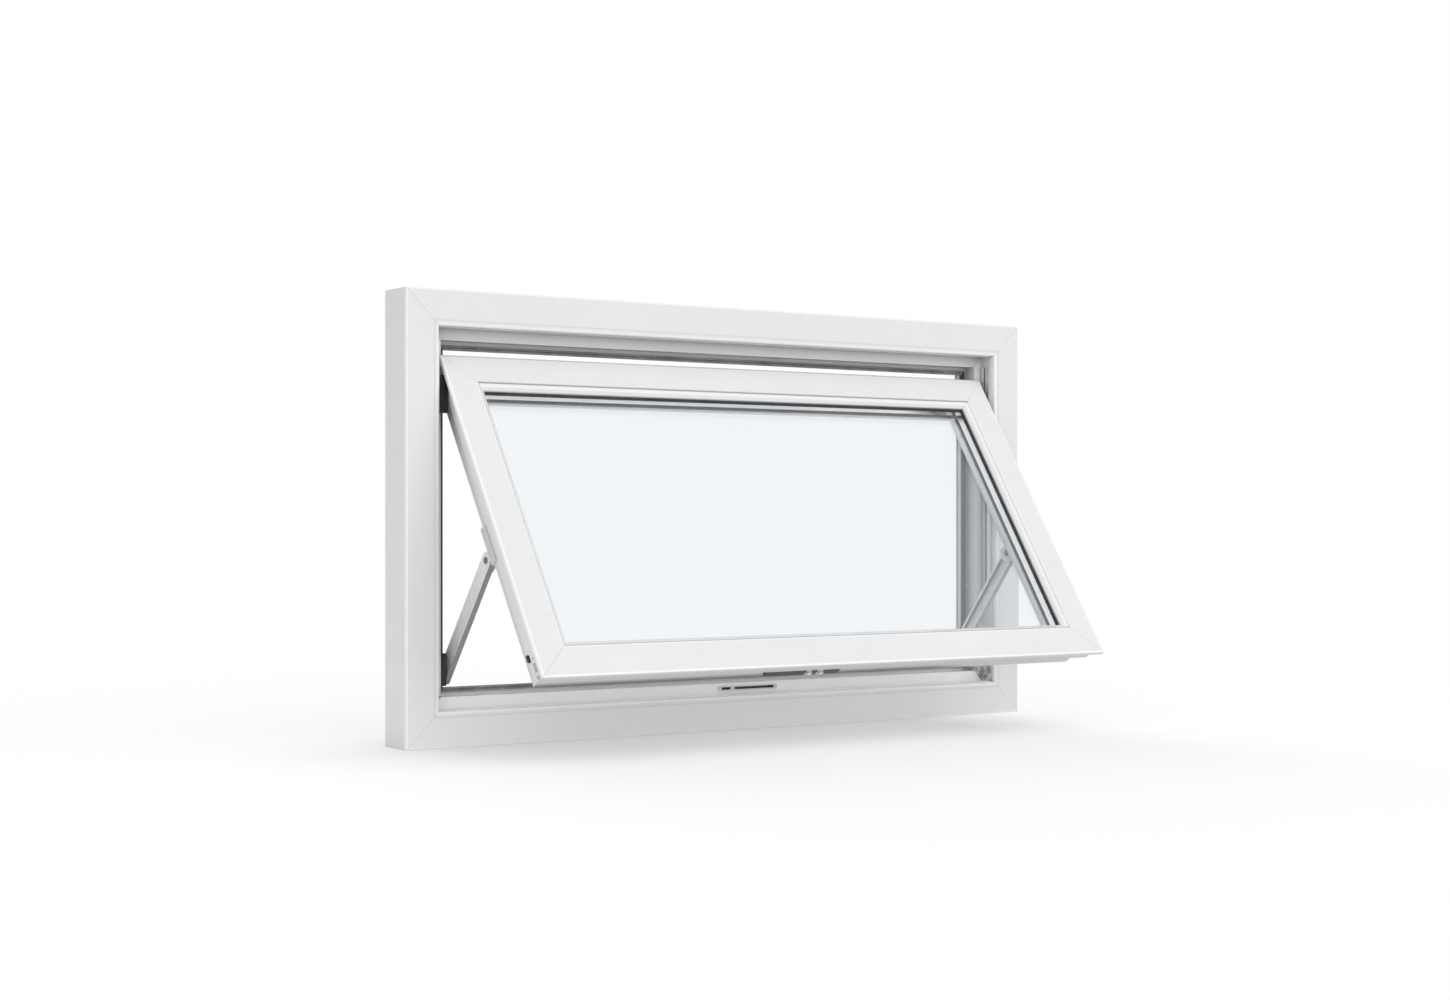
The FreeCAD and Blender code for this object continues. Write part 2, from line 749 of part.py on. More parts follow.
    # Plate on the inner face of the jamb's stop that carries the foot of the arm
    body = new_body(hand + "_jamb_bracket")
    sketch = new_sketch(body, "YZ_Plane", side * stop_x)
    y0 = -S("jamb_plate_front")
    y1 = S("jamb_plate_back")
    z0 = -S("jamb_plate_down")
    z1 = S("jamb_plate_up")
    rr = S("bracket_edge_round")
    loop(sketch, [(y0, z0, rr), (y1, z0, rr), (y1, z1, rr), (y0, z1, rr)])
    pad(body, sketch, S("jamb_plate"), back=side > 0)
    boss = new_sketch(body, "YZ_Plane", side * (stop_x - "jamb_plate"))
    circle(boss, 0.0, 0.0, S("rivet_head"))
    pad(body, boss, S("arm_side_gap") - "jamb_plate", back=side > 0)
    place(body, zero, foot_y, foot_z)

    # Black block on the jamb's inner seat, in front of the gasket beside the foot of the arm
    body = new_body(hand + "_foot_block")
    sketch = new_sketch(body, "YZ_Plane", side * (half_w - inner_u))
    block0 = seat_v - half_d
    block1 = gasket_v - half_d - "foot_block_gap"
    br = S("foot_block_round")
    low = S("foot_block_low")
    high = low + "foot_block_length"
    loop(sketch, [(block0, low, br), (block1, low, br), (block1, high, br), (block0, high, br)])
    pad(body, sketch, S("foot_block"), back=side > 0)

    # Rivet through the lug and the upper end of the arm
    body = new_body(hand + "_upper_rivet")
    stem = new_sketch(body, "YZ_Plane", side * (arm_x - "bracket_lug"))
    circle(stem, 0.0, 0.0, S("rivet_stem"))
    pad(body, stem, S("bracket_lug") + "arm_thickness", back=side < 0)
    head = new_sketch(body, "YZ_Plane", side * (arm_x + "arm_thickness"))
    circle(head, 0.0, 0.0, S("rivet_head"))
    pad(body, head, S("rivet_head_height"), back=side < 0)
    tail = new_sketch(body, "YZ_Plane", side * (arm_x - "bracket_lug"))
    circle(tail, 0.0, 0.0, S("rivet_head"))
    pad(body, tail, S("rivet_head_height"), back=side > 0)
    place(body, zero, pivot_y, pivot_z)

    # Rivet from the jamb bracket's boss through the foot of the arm
    body = new_body(hand + "_foot_rivet")
    stem = new_sketch(body, "YZ_Plane", side * (arm_x + "arm_thickness"))
    circle(stem, 0.0, 0.0, S("rivet_stem"))
    pad(body, stem, S("arm_thickness"), back=side > 0)
    head = new_sketch(body, "YZ_Plane", side * arm_x)
    circle(head, 0.0, 0.0, S("rivet_head"))
    pad(body, head, S("rivet_head_height"), back=side > 0)
    place(body, zero, foot_y, foot_z)

    # Keeper plate low on the side of the stile, with two screw heads
    body = new_body(hand + "_stile_keeper")
    sketch = new_sketch(body, "YZ_Plane", side * sash_mid_x)
    d0 = S("stile_plate_back")
    d1 = d0 + "stile_plate_width"
    s0 = S("stile_plate_up")
    s1 = s0 + "stile_plate_length"
    loop(sketch, [(d0, s0, rr), (d1, s0, rr), (d1, s1, rr), (d0, s1, rr)])
    pad(body, sketch, S("stile_plate"), back=side < 0)
    heads = new_sketch(body, "YZ_Plane", side * (sash_mid_x + "stile_plate"))
    for way in (-1, 1):
        up = (s0 + s1) / 2 + way * S("stile_screw_spacing") / 2
        circle(heads, (d0 + d1) / 2, up, S("stile_screw"))
    pad(body, heads, S("stile_screw_height"), back=side < 0)
    on_sash(body)

    # Black bolt end above it, on the set-back part of the stile's side
    body = new_body(hand + "_stile_bolt")
    sketch = new_sketch(body, "YZ_Plane", side * sash_rear_x)
    d0 = S("stile_bolt_back")
    d1 = d0 + "stile_bolt_width"
    s0 = S("stile_bolt_up")
    s1 = s0 + "stile_bolt_length"
    br = S("stile_bolt_round")
    loop(sketch, [(d0, s0, br), (d1, s0, br), (d1, s1, br), (d0, s1, br)])
    pad(body, sketch, S("stile_bolt_height"), back=side < 0)
    on_sash(body)

# Keeper plate on the sill's inner step, over two slots cut into the step
step_y = seat_v - half_d
step_u = (seat_u + inner_u) / 2
kx = S("keeper_offset")
kl = S("keeper_length") / 2
kh = S("keeper_height") / 2
slot_h = S("keeper_slot_height") / 2
slot1 = kx + kl - "keeper_slot_end"
slot0 = slot1 - "keeper_slot_length"
hole1 = slot0 - "keeper_slot_gap"
hole0 = hole1 - "keeper_hole_length"
sill = doc.getObject("frame_sill")
recess = new_sketch(sill, "XZ_Plane", -step_y)
body = new_body("sill_lock_keeper")
sketch = new_sketch(body, "XZ_Plane", -step_y)
kr = S("keeper_round")
loop(sketch, [(kx - kl, step_u - kh, kr), (kx + kl, step_u - kh, kr),
              (kx + kl, step_u + kh, kr), (kx - kl, step_u + kh, kr)])
for x0, x1 in ((hole0, hole1), (slot0, slot1)):
    box_loop(recess, x0, x1, step_u - slot_h, step_u + slot_h)
    box_loop(sketch, x0, x1, step_u - slot_h, step_u + slot_h)
pocket(sill, recess, S("keeper_recess"))
pad(body, sketch, S("keeper_thickness"))

# Lock bar under the bottom rail with its two studs
body = new_body("sash_lock_bar")
lock0 = S("lock_back")
lock1 = lock0 + "lock_depth"
under = rear_p - "lock_height"
sketch = new_sketch(body, "XY_Plane", under)
lx = S("lock_offset")
ll = S("lock_length") / 2
lr = S("lock_round")
loop(sketch, [(lx - ll, lock0, lr), (lx + ll, lock0, lr), (lx + ll, lock1, lr), (lx - ll, lock1, lr)])
pad(body, sketch, S("lock_height"))
on_sash(body)
for hand, side in (("left", -1), ("right", 1)):
    body = new_body("sash_lock_%s_stud" % hand)
    sketch = new_sketch(body, "XY_Plane", under)
    stud_x = S("lock_stud_offset") + side * S("lock_stud_spacing") / 2
    circle(sketch, stud_x, (lock0 + lock1) / 2, S("lock_stud"))
    pad(body, sketch, S("lock_stud_height"), back=True)
    on_sash(body)

doc.recompute()

# Nothing is written unless every object is sound
for item in doc.Objects:
    if "Invalid" in item.State or "Error" in item.State:
        raise RuntimeError("unsound object " + item.Label)
os.makedirs("parts", exist_ok=True)
for body in NODES:
    shape = body.Shape
    if shape.isNull() or not shape.isValid() or len(shape.Solids) != 1:
        raise RuntimeError("unsound shape " + body.Label)
    shape.exportStep("parts/" + body.Label + ".step")
    print(body.Label, len(shape.Solids), [round(v, 1) for v in (
        shape.BoundBox.XMin, shape.BoundBox.XMax, shape.BoundBox.YMin, shape.BoundBox.YMax,
        shape.BoundBox.ZMin, shape.BoundBox.ZMax)])
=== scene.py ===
import math

import bmesh
import bpy
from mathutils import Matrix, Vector


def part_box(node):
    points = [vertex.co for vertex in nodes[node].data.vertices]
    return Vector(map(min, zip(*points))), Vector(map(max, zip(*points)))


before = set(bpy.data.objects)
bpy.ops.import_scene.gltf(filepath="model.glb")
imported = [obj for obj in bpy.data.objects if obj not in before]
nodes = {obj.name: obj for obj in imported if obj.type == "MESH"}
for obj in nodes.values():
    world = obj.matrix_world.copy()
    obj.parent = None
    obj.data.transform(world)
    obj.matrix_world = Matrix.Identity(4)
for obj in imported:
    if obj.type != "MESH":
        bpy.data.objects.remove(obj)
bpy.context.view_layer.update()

# Sizes in metres, read from the frame
head_low, head_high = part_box("frame_head")
sill_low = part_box("frame_sill")[0]
FRAME_WIDTH = head_high[0] - head_low[0]
FRAME_HEIGHT = head_high[2] - sill_low[2]
FRAME_FRONT = head_low[1]

# The open sash in metres: its lean, its size, and the lower front edge that it is measured from
SASH_TILT = math.radians(34.0)
SASH_WIDTH = 0.946
SASH_HEIGHT = 0.5025
SASH_TOP_BACK = 0.0239
SASH_TOP_DROP = 0.0848
SASH_TOE = Vector((0.0, FRAME_FRONT + SASH_TOP_BACK - SASH_HEIGHT * math.sin(SASH_TILT),
                   FRAME_HEIGHT - SASH_TOP_DROP - SASH_HEIGHT * math.cos(SASH_TILT)))

# The photo's camera: image size, focal length and horizon in its pixels
PHOTO_WIDTH = 1450.0
PHOTO_HEIGHT = 1000.0
FOCAL_PIXELS = 2197.4
HORIZON_PIXEL = 521.64
SENSOR_WIDTH = 36.0
VIEW_END = 100.0
VIEW_TURN = math.radians(34.13)
CAMERA_PLACE = Vector((-1.8067, FRAME_FRONT - 2.6243, 0.301))

# Studio light: an even glow, stronger from the front and the left, and one weak soft lamp
GLOW_LEVEL = 0.57
GLOW_LOBES = (((0.0, -1.0, 0.0), 0.975), ((-1.0, 0.0, 0.0), 0.12))
LAMP_LEVEL = 0.05
LAMP_TOWARDS = (0.35, 0.75, -0.55)
LAMP_SPREAD = math.radians(60.0)
LAMP_AWAY = 3.0

# Studio floor: its half width, its bounce, how white it is seen, and where its painted soft shade lies
FLOOR_SIZE = 60.0
FLOOR_TONE = 0.96
FLOOR_SEEN = 1.24
FLOOR_WHITE = 0.5
SHADE_DEPTH = 0.36
SHADE_REACH = 1.2
SHADE_SPREAD = 0.55
SHADE_SAMPLES = 16
SHADE_LEFT = (-0.80, -0.46)
SHADE_RIGHT = (0.30, 0.50)
SHADE_FRONT = (-0.9, -0.15)
SHADE_FRONT_SHARE = 0.35
SHADE_BACK = (0.0, 0.15)

# Tones of the finishes, dark to pale
# Painted shade in the slots behind the keeper
SLOT_SHADE_BLACK = (0.03, 0.03, 0.03)
# Painted dark shade under the rear of the rails and at the foot of the jambs
PAINTED_SHADE_BLACK = (0.08, 0.08, 0.08)
# Painted shade on the narrow edges of the stay arms
ARM_EDGE_SHADE = (0.25, 0.25, 0.25)
# Painted shade in sheltered places, on faces that look down and at the rear of the sash's sides
PAINTED_SHADE_GREY = (0.28, 0.28, 0.28)
# Painted shade lines
SHADE_LINE_GREY = (0.36, 0.36, 0.36)
SEAM_GREY = (0.52, 0.52, 0.52)
FRAME_WHITE = (0.80, 0.80, 0.803)
SASH_WHITE = (0.84, 0.84, 0.843)
SCREW_WHITE = (0.88, 0.88, 0.88)
# Painted light on the sill's inner ledge
LIT_LEDGE_WHITE = (0.93, 0.93, 0.93)
# Painted light on the glazing beads, paler than the sash's vinyl
LIT_BEAD_WHITE = (0.96, 0.96, 0.963)
# Painted highlights on edges and in the bead groove
HIGHLIGHT_WHITE = (0.97, 0.97, 0.97)
GLASS_TONES = ((0.938, 0.956, 0.972), (0.946, 0.964, 0.979))
GLASS_SHADOW = (0.965, 0.968, 0.970, 1.0)

# Bands across a bar, in metres in from its outer edge
# Painted highlight bands along the frame's outer and inner edges
FRAME_EDGES = ((0.0, 0.0016), (0.0452, 0.0485))
# A painted shade line just inside the frame's inner edge
FRAME_SHADE_LINE = (0.0398, 0.0424)
REBATE_START = (0.045, 0.047)
# Painted highlight bands along the sash's outer and inner edges; the groove band gets a painted highlight,
# with painted shade over it on the top rail
SASH_EDGES = ((0.0, 0.0030), (0.0464, 0.0496))
SASH_GROOVE = (0.0430, 0.0461)
# A painted shade line along the top rail's upper edge
SASH_TOP_SHADE_EDGE = (-0.001, 0.0032)
SASH_FACE_END = (0.0418, 0.0430)
SASH_SIDE_END = (0.0205, 0.0225)
SEAM_WIDTH = 0.0009

# Bands of depth, in metres behind the front of a bar
LIP_END = (0.006, 0.008)
LEDGE_START = (0.008, 0.009)
FOOT_DEPTH = (0.0045, 0.0480)
SLOT_DEPTH = (0.0304, 0.0450)
STOP_START = (0.040, 0.046)
REAR_SHADE_START = (0.049, 0.057)

# Heights and places along the bars, in metres
LEDGE_RISE = (0.0480, 0.0665)
SLOT_RISE = (0.0556, 0.0596)
SLOT_ALONG = (-0.0146, 0.0787)
FOOT_TOP = (0.070, 0.078)
HEAD_START = (0.50, 0.52)
SASH_MIDDLE = (0.24, 0.26)
REAR_SHADE_END = (0.19, 0.26)

# Pale bands of the lock bar at its studs, and the screw heads of the stile keepers on the sash
LOCK_BANDS = ((-0.0386, -0.0308), (-0.0195, -0.0108))
STILE_SCREWS = ((0.0, 0.019, 0.01625), (0.0, 0.019, 0.03475))
SCREW_EDGE = (0.0026, 0.0034)

# Painted shade in sheltered places: its reach in metres, the open share over which it thins, and its share
# by place
SHADE_PAINT_REACH = 0.05
SHADE_PAINT_SAMPLES = 8
SHADE_PAINT_SHARE = (0.15, 0.80)
HEAD_SHADE_SHARE = (0.25, 1.0)
HEAD_SHADE_LEAST = 0.15
HEAD_SHADE_STEP = 0.65
HEAD_SHADE_STOP = 0.3
SPECK_SHARE = (0.42, 0.62)
SPECK_LEAST = 0.12

# Which way a face looks, by its normal, to place painted shade: down for a soffit or an underside, sideways
# for an arm's flat
SOFFIT_FACING = (-0.8, -0.1)
UNDER_FACING = (-0.5, -0.1)
EDGE_SHADE_FACING = (0.3, 0.7)

# Ramps of a noise into a tone or a roughness
NOISE_SPAN = (0.3, 0.7)
RUBBER_SPAN = (0.35, 0.75)
METAL_SPAN = (0.25, 0.75)
VINYL_ROUGHNESS = (0.30, 0.42)
RUBBER_ROUGHNESS_SWING = (-0.08, 0.08)
METAL_ROUGHNESS_SWING = (-0.07, 0.09)
RISE = (0.0, 1.0)
FALL = (1.0, 0.0)

# How far a tone dulls or blooms, and how high the draw lines stand beside a seam
VINYL_DULL = 0.965
METAL_DULL = 0.82
RUBBER_BLOOM = 1.7
RUBBER_BLOOM_LEAST = 0.006
LINE_RELIEF = 0.22

# Draw lines run along a level bar or an upright one
LEVEL_STRETCH = (3.0, 420.0, 420.0)
UPRIGHT_STRETCH = (420.0, 420.0, 3.0)


# Shader node helpers
def new_material(name):
    material = bpy.data.materials.new(name)
    material.use_nodes = True
    tree = material.node_tree
    tree.nodes.clear()
    output = tree.nodes.new("ShaderNodeOutputMaterial")
    return material, tree, output


def add(tree, kind, **settings):
    node = tree.nodes.new(kind)
    for key, value in settings.items():
        setattr(node, key, value)
    return node


def put(node, **values):
    for key, value in values.items():
        node.inputs[key.replace("_", " ")].default_value = value
    return node


def maths(tree, operation, a, b=None, clamp=False):
    node = add(tree, "ShaderNodeMath", operation=operation, use_clamp=clamp)
    for socket, value in zip(node.inputs, (a, b)):
        if value is None:
            continue
        if isinstance(value, (int, float)):
            socket.default_value = value
        else:
            tree.links.new(value, socket)
    return node.outputs[0]


# Where all the masks hold at once
def combine(tree, first, *others):
    for other in others:
        first = maths(tree, "MULTIPLY", first, other)
    return first


def opposite(tree, mask):
    return maths(tree, "SUBTRACT", 1.0, mask)


def axes(tree, vector):
    split = add(tree, "ShaderNodeSeparateXYZ")
    tree.links.new(vector, split.inputs[0])
    return split.outputs


def face_normal(tree):
    return axes(tree, add(tree, "ShaderNodeNewGeometry").outputs["Normal"])


def ranged(tree, value, span, out=RISE):
    node = add(tree, "ShaderNodeMapRange")
    put(node, From_Min=span[0], From_Max=span[1], To_Min=out[0], To_Max=out[1])
    tree.links.new(value, node.inputs["Value"])
    return node.outputs["Result"]


def tone_mix(tree, share, low, high):
    mix = add(tree, "ShaderNodeMix", data_type="RGBA")
    mix.inputs[6].default_value = (*low, 1.0)
    mix.inputs[7].default_value = (*high, 1.0)
    tree.links.new(share, mix.inputs[0])
    return mix.outputs[2]


def new_group(name, inputs, outputs):
    tree = bpy.data.node_groups.new(name, "ShaderNodeTree")
    for label, kind, default in inputs:
        socket = tree.interface.new_socket(label, in_out="INPUT", socket_type=kind)
        if default is not None:
            socket.default_value = default
    for label, kind in outputs:
        tree.interface.new_socket(label, in_out="OUTPUT", socket_type=kind)
    entry = tree.nodes.new("NodeGroupInput")
    leave = tree.nodes.new("NodeGroupOutput")
    return tree, entry.outputs, leave.inputs


def place_group(tree, group, **values):
    node = tree.nodes.new("ShaderNodeGroup")
    node.node_tree = group
    for key, value in values.items():
        socket = node.inputs[key.replace("_", " ")]
        if isinstance(value, bpy.types.NodeSocket):
            tree.links.new(value, socket)
        else:
            socket.default_value = value
    return node.outputs


# Fine draw lines along an extruded bar, with soft unevenness of tone and gloss
def make_draw_lines():
    tree, given, result = new_group(
        "draw_lines",
        [("Vector", "NodeSocketVector", None), ("Stretch", "NodeSocketVector", (1.0, 1.0, 1.0)),
         ("Cloud Scale", "NodeSocketFloat", 9.0)],
        [("Lines", "NodeSocketFloat"), ("Clouds", "NodeSocketFloat"), ("Specks", "NodeSocketFloat")])
    stretched = add(tree, "ShaderNodeVectorMath", operation="MULTIPLY")
    tree.links.new(given["Vector"], stretched.inputs[0])
    tree.links.new(given["Stretch"], stretched.inputs[1])
    lines = put(add(tree, "ShaderNodeTexNoise"), Scale=1.0, Detail=3.0, Roughness=0.6)
    tree.links.new(stretched.outputs[0], lines.inputs["Vector"])
    tree.links.new(lines.outputs["Fac"], result["Lines"])
    clouds = put(add(tree, "ShaderNodeTexNoise"), Detail=4.0, Roughness=0.55)
    tree.links.new(given["Vector"], clouds.inputs["Vector"])
    tree.links.new(given["Cloud Scale"], clouds.inputs["Scale"])
    tree.links.new(clouds.outputs["Fac"], result["Clouds"])
    specks = put(add(tree, "ShaderNodeTexNoise"), Scale=900.0, Detail=1.0, Roughness=0.5)
    tree.links.new(given["Vector"], specks.inputs["Vector"])
    tree.links.new(specks.outputs["Fac"], result["Specks"])
    return tree


# The welded seam at the four mitres of a ring of bars, and how far in and behind the front a place lies
def make_mitre_seam():
    tree, given, result = new_group(
        "mitre_seam",
        [("Vector", "NodeSocketVector", None), ("Half Width", "NodeSocketFloat", 0.5),
         ("Height", "NodeSocketFloat", 0.5), ("Front", "NodeSocketFloat", 0.0),
         ("Seam Width", "NodeSocketFloat", SEAM_WIDTH)],
        [("Seam", "NodeSocketFloat"), ("Inset", "NodeSocketFloat"), ("Depth", "NodeSocketFloat")])
    place = axes(tree, given["Vector"])
    across = maths(tree, "SUBTRACT", given["Half Width"], maths(tree, "ABSOLUTE", place["X"]))
    above = maths(tree, "SUBTRACT", given["Height"], place["Z"])
    upright = maths(tree, "MINIMUM", place["Z"], above)
    tree.links.new(maths(tree, "MINIMUM", across, upright), result["Inset"])
    tree.links.new(maths(tree, "SUBTRACT", place["Y"], given["Front"]), result["Depth"])
    away = maths(tree, "ABSOLUTE", maths(tree, "SUBTRACT", across, upright))
    share = maths(tree, "DIVIDE", away, given["Seam Width"])
    tree.links.new(maths(tree, "SUBTRACT", 1.0, share, clamp=True), result["Seam"])
    return tree


# A band of a value between low and high, with soft edges
def make_soft_band():
    tree, given, result = new_group(
        "soft_band",
        [("Value", "NodeSocketFloat", 0.0), ("Low", "NodeSocketFloat", 0.0),
         ("High", "NodeSocketFloat", 1.0), ("Soft", "NodeSocketFloat", 0.001)],
        [("Mask", "NodeSocketFloat")])
    width = maths(tree, "ADD", given["Soft"], given["Soft"])
    past_low = maths(tree, "ADD", maths(tree, "SUBTRACT", given["Value"], given["Low"]), given["Soft"])
    short_of_high = maths(tree, "ADD", maths(tree, "SUBTRACT", given["High"], given["Value"]), given["Soft"])
    rise = maths(tree, "DIVIDE", past_low, width, clamp=True)
    fall = maths(tree, "DIVIDE", short_of_high, width, clamp=True)
    tree.links.new(combine(tree, rise, fall), result["Mask"])
    return tree


# A tone laid over another where a mask holds
def make_tone_tint():
    tree, given, result = new_group(
        "tone_tint",
        [("Mask", "NodeSocketFloat", 0.0), ("Strength", "NodeSocketFloat", 1.0),
         ("Tone", "NodeSocketColor", None), ("Tint", "NodeSocketColor", None)],
        [("Tone", "NodeSocketColor")])
    mix = add(tree, "ShaderNodeMix", data_type="RGBA")
    tree.links.new(combine(tree, given["Mask"], given["Strength"]), mix.inputs[0])
    tree.links.new(given["Tone"], mix.inputs[6])
    tree.links.new(given["Tint"], mix.inputs[7])
    tree.links.new(mix.outputs[2], result["Tone"])
    return tree


DRAW_LINES = make_draw_lines()
MITRE_SEAM = make_mitre_seam()
SOFT_BAND = make_soft_band()
TONE_TINT = make_tone_tint()


def band(tree, value, limits, soft):
    return place_group(tree, SOFT_BAND, Value=value, Low=limits[0], High=limits[1], Soft=soft)["Mask"]


def tint(tree, mask, tone, colour, strength=1.0):
    return place_group(tree, TONE_TINT, Mask=mask, Strength=strength, Tone=tone, Tint=(*colour, 1.0))["Tone"]


# Painted highlights on rounded edges
def make_edge_highlight():
    tree, given, result = new_group(
        "edge_highlight",
        [("Inset", "NodeSocketFloat", 0.0), ("Lip", "NodeSocketFloat", 1.0),
         ("Low", "NodeSocketFloat", 0.0), ("High", "NodeSocketFloat", 0.001),
         ("Soft", "NodeSocketFloat", 0.001), ("Strength", "NodeSocketFloat", 1.0),
         ("Tone", "NodeSocketColor", None), ("Edge Tone", "NodeSocketColor", None)],
        [("Tone", "NodeSocketColor")])
    edge = place_group(tree, SOFT_BAND, Value=given["Inset"], Low=given["Low"], High=given["High"],
                       Soft=given["Soft"])["Mask"]
    highlighted = place_group(tree, TONE_TINT, Mask=combine(tree, edge, given["Lip"]), Strength=given["Strength"],
                       Tone=given["Tone"], Tint=given["Edge Tone"])["Tone"]
    tree.links.new(highlighted, result["Tone"])
    return tree


# Painted shade where little of the open is left around a face
def make_shelter_shade():
    tree, given, result = new_group(
        "shelter_shade",
        [("Open Share", "NodeSocketFloat", 1.0), ("Low", "NodeSocketFloat", 0.0),
         ("High", "NodeSocketFloat", 1.0), ("Least", "NodeSocketFloat", 0.0),
         ("Where", "NodeSocketFloat", 1.0), ("Strength", "NodeSocketFloat", 1.0),
         ("Tone", "NodeSocketColor", None), ("Dust Tone", "NodeSocketColor", None)],
        [("Tone", "NodeSocketColor")])
    closed = put(add(tree, "ShaderNodeMapRange"), To_Min=1.0)
    tree.links.new(given["Open Share"], closed.inputs["Value"])
    tree.links.new(given["Low"], closed.inputs["From Min"])
    tree.links.new(given["High"], closed.inputs["From Max"])
    tree.links.new(given["Least"], closed.inputs["To Max"])
    shaded_share = combine(tree, closed.outputs["Result"], given["Where"])
    dulled = place_group(tree, TONE_TINT, Mask=shaded_share, Strength=given["Strength"], Tone=given["Tone"],
                         Tint=given["Dust Tone"])["Tone"]
    tree.links.new(dulled, result["Tone"])
    return tree


EDGE_HIGHLIGHT = make_edge_highlight()
SHELTER_SHADE = make_shelter_shade()


# Painted highlights along the given edge bands
def paint_edge_highlights(tree, edges, ring, lip, tone):
    for low, high in edges:
        tone = place_group(tree, EDGE_HIGHLIGHT, Inset=ring["Inset"], Lip=lip, Low=low, High=high, Soft=0.0006,
                           Strength=0.9, Tone=tone, Edge_Tone=(*HIGHLIGHT_WHITE, 1.0))["Tone"]
    return tone


# Painted shade laid on by how little of the open is left around a place
def paint_shelter_shade(tree, open_share, share, where, tone, strength, least=0.0):
    return place_group(tree, SHELTER_SHADE, Open_Share=open_share, Low=share[0], High=share[1], Least=least,
                       Where=where, Strength=strength, Tone=tone, Dust_Tone=(*PAINTED_SHADE_GREY, 1.0))["Tone"]


# A place on the frame as it stands, or on the sash as if it were upright
def ring_vector(tree, on_sash):
    coords = add(tree, "ShaderNodeTexCoord")
    if not on_sash:
        return coords.outputs["Object"]
    local = add(tree, "ShaderNodeMapping", vector_type="TEXTURE")
    put(local, Location=SASH_TOE, Rotation=(-SASH_TILT, 0.0, 0.0))
    tree.links.new(coords.outputs["Object"], local.inputs["Vector"])
    return local.outputs["Vector"]


# Where painted shade lies under the head: most on faces that look down, less on the step, least on the stop
def shade_under_head(tree, place, ring, behind):
    soffit = ranged(tree, face_normal(tree)["Z"], SOFFIT_FACING, (1.0, HEAD_SHADE_STEP))
    return combine(tree, soffit, ranged(tree, place["Z"], HEAD_START), behind,
                   ranged(tree, ring["Depth"], STOP_START, (1.0, HEAD_SHADE_STOP)))


# Painted light on the sill's inner ledge, and painted shade in the slots behind the keeper
def sill_ledge(tree, place, ring, tone):
    # Painted light on the ledge's faces behind the lip
    lit_ledge = combine(tree, band(tree, place["Z"], LEDGE_RISE, soft=0.0003),
                    ranged(tree, ring["Depth"], LEDGE_START))
    tone = tint(tree, lit_ledge, tone, LIT_LEDGE_WHITE, strength=0.9)
    # Painted shade in the slots behind the keeper
    slot_shade = combine(tree, band(tree, place["X"], SLOT_ALONG, soft=0.0001),
                    band(tree, place["Z"], SLOT_RISE, soft=0.0001),
                    band(tree, ring["Depth"], SLOT_DEPTH, soft=0.0002))
    return tint(tree, slot_shade, tone, SLOT_SHADE_BLACK)


# Mottled painted shade in the corner at the foot of a jamb, behind its front edge
def jamb_foot_shade(tree, vector, place, ring):
    foot = combine(tree, ranged(tree, place["Z"], FOOT_TOP, FALL),
                   band(tree, ring["Depth"], FOOT_DEPTH, soft=0.0015),
                   ranged(tree, ring["Inset"], REBATE_START))
    specks = put(add(tree, "ShaderNodeTexNoise"), Scale=130.0, Detail=2.0, Roughness=0.6)
    tree.links.new(vector, specks.inputs["Vector"])
    return combine(tree, foot, ranged(tree, specks.outputs["Fac"], SPECK_SHARE, (SPECK_LEAST, 1.0)))


# Painted shade in the top rail's bead groove and along its upper edge, and on the underside of the bottom
# rail
def rail_shade(tree, place, ring, groove, lip, tone):
    upper = ranged(tree, place["Z"], SASH_MIDDLE)
    # Painted shade in the top rail's bead groove
    tone = tint(tree, combine(tree, groove, upper), tone, SHADE_LINE_GREY, strength=0.5)
    # Painted shade line along the top rail's upper edge
    top_edge_shade = combine(tree, band(tree, ring["Inset"], SASH_TOP_SHADE_EDGE, soft=0.0006), lip, upper)
    tone = tint(tree, top_edge_shade, tone, SHADE_LINE_GREY, strength=0.6)
    # Painted shade on faces that look down in the lower half of the sash
    under = ranged(tree, face_normal(tree)["Z"], UNDER_FACING, FALL)
    return tint(tree, combine(tree, under, opposite(tree, upper)), tone, PAINTED_SHADE_GREY, strength=0.32)


# Painted light and shade on the frame's vinyl
def frame_painted_light(tree, vector, ring, open_share, level, tone):
    place = axes(tree, vector)
    lip = ranged(tree, ring["Depth"], LIP_END, FALL)
    behind = opposite(tree, lip)
    if level:
        # Painted shade under the head, deepest on faces that look down
        where = shade_under_head(tree, place, ring, behind)
        tone = paint_shelter_shade(tree, open_share, HEAD_SHADE_SHARE, where, tone, strength=0.9, least=HEAD_SHADE_LEAST)
        tone = sill_ledge(tree, place, ring, tone)
    else:
        # Painted shade in the jamb's recesses behind the lip
        tone = paint_shelter_shade(tree, open_share, SHADE_PAINT_SHARE, behind, tone, strength=0.40)
        # Mottled painted shade at the foot of the jamb
        tone = tint(tree, jamb_foot_shade(tree, vector, place, ring), tone, PAINTED_SHADE_BLACK, strength=0.75)
    # A painted shade line just inside the lip's highlight
    shade_line = combine(tree, band(tree, ring["Inset"], FRAME_SHADE_LINE, soft=0.0008), lip)
    tone = tint(tree, shade_line, tone, SHADE_LINE_GREY, strength=0.2)
    # Painted highlights on the frame's edges
    return paint_edge_highlights(tree, FRAME_EDGES, ring, lip, tone)


